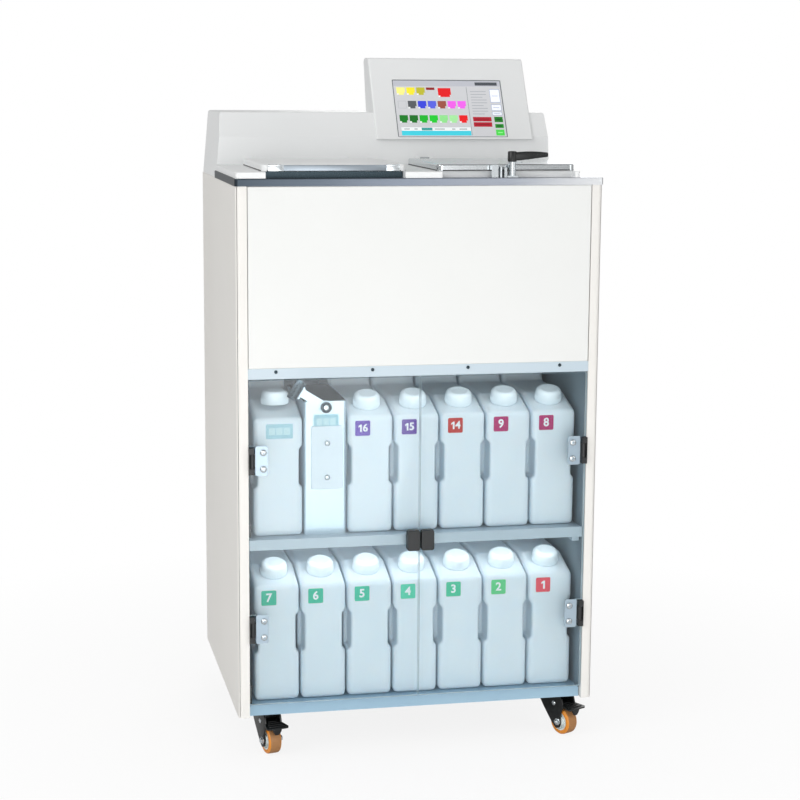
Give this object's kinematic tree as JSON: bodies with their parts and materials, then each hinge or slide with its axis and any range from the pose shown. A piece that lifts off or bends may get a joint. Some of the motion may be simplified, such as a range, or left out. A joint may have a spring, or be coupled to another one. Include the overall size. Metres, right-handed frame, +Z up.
{
  "type": "tissue processor",
  "caption": "Floor-standing tissue processor on four casters: white cabinet, twin clear doors over reagent bottles, hinged retort and paraffin lids, leaning touch screen",
  "frame": {"origin": "on the floor under the middle of the whole machine", "axes": "X to the right along the front, Y to the rear, Z up"},
  "size_m": [0.602, 0.505, 1.141],
  "materials": {
    "cabinet_white": "satin",
    "housing_white": "satin",
    "sheet_steel": "brushed",
    "pale_blue_sheet": "satin",
    "bay_blue": "satin",
    "lid_steel": "polished",
    "lid_white": "satin",
    "clear_door": "clear",
    "bottle_white": "translucent",
    "cap_white": "satin",
    "black_plastic": "satin",
    "grey_plastic": "satin",
    "screen_glass": "gloss",
    "board_green": "satin",
    "steel_bright": "polished",
    "black_metal": "satin",
    "seal_red": "matt",
    "tread_orange": "satin",
    "zinc": "satin"
  },
  "bodies": {
    "cabinet": {"base_chassis": "zinc", "bay_liner": "bay_blue", "bay_top_rail": "pale_blue_sheet", "bottle_caps": "cap_white", "bottle_couplings": "grey_plastic", "bottom_tray": "pale_blue_sheet", "cabinet_screws": "steel_bright", "carbon_filter_box": "grey_plastic", "caster_plates": "zinc", "clamp_bracket": "steel_bright", "condensate_bottle": "bottle_white", "display_module": "board_green", "door_hinge_blocks": "black_plastic", "exhaust_spigot": "grey_plastic", "fan_frame": "black_plastic", "filter_front_plate": "lid_white", "front_panel": "cabinet_white", "left_side_panel": "cabinet_white", "lid_hinges": "steel_bright", "lower_bottles": "bottle_white", "mains_inlet": "black_plastic", "middle_shelf": "pale_blue_sheet", "monitor_housing": "housing_white", "paraffin_oven": "sheet_steel", "power_supply": "zinc", "rear_housing": "housing_white", "rear_panel": "cabinet_white", "retort_gasket": "seal_red", "retort_vessel": "sheet_steel", "right_side_panel": "cabinet_white", "rotary_valve_body": "sheet_steel", "touch_screen": "screen_glass", "upper_bottles": "bottle_white", "vacuum_pump": "black_metal", "worktop": "sheet_steel", "worktop_surround": "housing_white"},
    "left_door": {"left_door_panel": "clear_door", "left_door_handle": "black_plastic", "left_hinge_leaves": "steel_bright"},
    "right_door": {"right_door_panel": "clear_door", "right_door_handle": "black_plastic", "right_hinge_leaves": "steel_bright"},
    "paraffin_cover": {"paraffin_lid": "lid_white"},
    "retort_cover": {"retort_lid": "lid_steel"},
    "clamp": {"clamp_spindle": "steel_bright", "clamp_lever": "black_metal"},
    "filter_lock": {"filter_lever": "sheet_steel"},
    "fan_wheel": {"fan_rotor": "black_plastic"},
    "valve_disc": {"valve_rotor": "steel_bright"},
    "switch_rocker": {"power_switch": "black_plastic"},
    "front_left_swivel": {"front_left_caster_fork": "black_metal"},
    "front_left_roller": {"front_left_caster_wheel": "tread_orange"},
    "front_right_swivel": {"front_right_caster_fork": "black_metal"},
    "front_right_roller": {"front_right_caster_wheel": "tread_orange"},
    "rear_left_swivel": {"rear_left_caster_fork": "black_metal"},
    "rear_left_roller": {"rear_left_caster_wheel": "tread_orange"},
    "rear_right_swivel": {"rear_right_caster_fork": "black_metal"},
    "rear_right_roller": {"rear_right_caster_wheel": "tread_orange"},
    "front_left_brake": {"front_left_brake_pedal": "black_metal"},
    "front_right_brake": {"front_right_brake_pedal": "black_metal"}
  },
  "joints": [
    {"name": "left_door_hinge", "type": "hinge", "parent": "cabinet", "child": "left_door", "pos_m": [-0.2765, -0.2435, 0.36], "axis": [0, 0, -1], "range_deg": [0, 105]},
    {"name": "right_door_hinge", "type": "hinge", "parent": "cabinet", "child": "right_door", "pos_m": [0.2765, -0.2435, 0.36], "axis": [0, 0, 1], "range_deg": [0, 105]},
    {"name": "paraffin_lid_hinge", "type": "hinge", "parent": "cabinet", "child": "paraffin_cover", "pos_m": [-0.14, 0.0155, 0.9672], "axis": [-1, 0, 0], "range_deg": [0, 80]},
    {"name": "retort_lid_hinge", "type": "hinge", "parent": "cabinet", "child": "retort_cover", "pos_m": [0.1425, 0.0155, 0.9672], "axis": [-1, 0, 0], "range_deg": [0, 80]},
    {"name": "clamp_turn", "type": "hinge", "parent": "cabinet", "child": "clamp", "pos_m": [0.149, -0.2335, 0.961], "axis": [0, 0, 1], "range_deg": [0, 90]},
    {"name": "filter_lever_pivot", "type": "hinge", "parent": "cabinet", "child": "filter_lock", "pos_m": [-0.15, -0.2005, 0.578], "axis": [0, 1, 0], "range_deg": [-80, 0]},
    {"name": "fan_spin", "type": "hinge", "parent": "cabinet", "child": "fan_wheel", "pos_m": [0.06, 0.2125, 0.993], "axis": [0, 1, 0], "continuous": true},
    {"name": "valve_spin", "type": "hinge", "parent": "cabinet", "child": "valve_disc", "pos_m": [0.1425, -0.1055, 0.692], "axis": [0, 0, 1], "continuous": true},
    {"name": "power_switch_rock", "type": "hinge", "parent": "cabinet", "child": "switch_rocker", "pos_m": [-0.2, 0.2255, 0.233], "axis": [0, 0, -1], "range_deg": [0, 16]},
    {"name": "front_left_caster_swivel", "type": "hinge", "parent": "cabinet", "child": "front_left_swivel", "pos_m": [-0.25, -0.1825, 0.065], "axis": [0, 0, 1], "continuous": true},
    {"name": "front_left_wheel_spin", "type": "hinge", "parent": "front_left_swivel", "child": "front_left_roller", "pos_m": [-0.24325, -0.21173, 0.023], "axis": [0.9744, 0.225, 0], "continuous": true},
    {"name": "front_left_brake_press", "type": "hinge", "parent": "front_left_swivel", "child": "front_left_brake", "pos_m": [-0.2455, -0.20199, 0.054], "axis": [-0.9744, -0.225, 0], "range_deg": [0, 12]},
    {"name": "front_right_caster_swivel", "type": "hinge", "parent": "cabinet", "child": "front_right_swivel", "pos_m": [0.25, -0.1825, 0.065], "axis": [0, 0, 1], "continuous": true},
    {"name": "front_right_wheel_spin", "type": "hinge", "parent": "front_right_swivel", "child": "front_right_roller", "pos_m": [0.26315, -0.20946, 0.023], "axis": [0.8988, 0.4384, 0], "continuous": true},
    {"name": "front_right_brake_press", "type": "hinge", "parent": "front_right_swivel", "child": "front_right_brake", "pos_m": [0.25877, -0.20048, 0.054], "axis": [-0.8988, -0.4384, 0], "range_deg": [0, 12]},
    {"name": "rear_left_caster_swivel", "type": "hinge", "parent": "cabinet", "child": "rear_left_swivel", "pos_m": [-0.25, 0.1675, 0.065], "axis": [0, 0, 1], "continuous": true},
    {"name": "rear_left_wheel_spin", "type": "hinge", "parent": "rear_left_swivel", "child": "rear_left_roller", "pos_m": [-0.23876, 0.19532, 0.023], "axis": [-0.9272, 0.3746, 0], "continuous": true},
    {"name": "rear_right_caster_swivel", "type": "hinge", "parent": "cabinet", "child": "rear_right_swivel", "pos_m": [0.25, 0.1675, 0.065], "axis": [0, 0, 1], "continuous": true},
    {"name": "rear_right_wheel_spin", "type": "hinge", "parent": "rear_right_swivel", "child": "rear_right_roller", "pos_m": [0.24224, 0.19648, 0.023], "axis": [-0.9659, -0.2588, 0], "continuous": true}
  ]
}
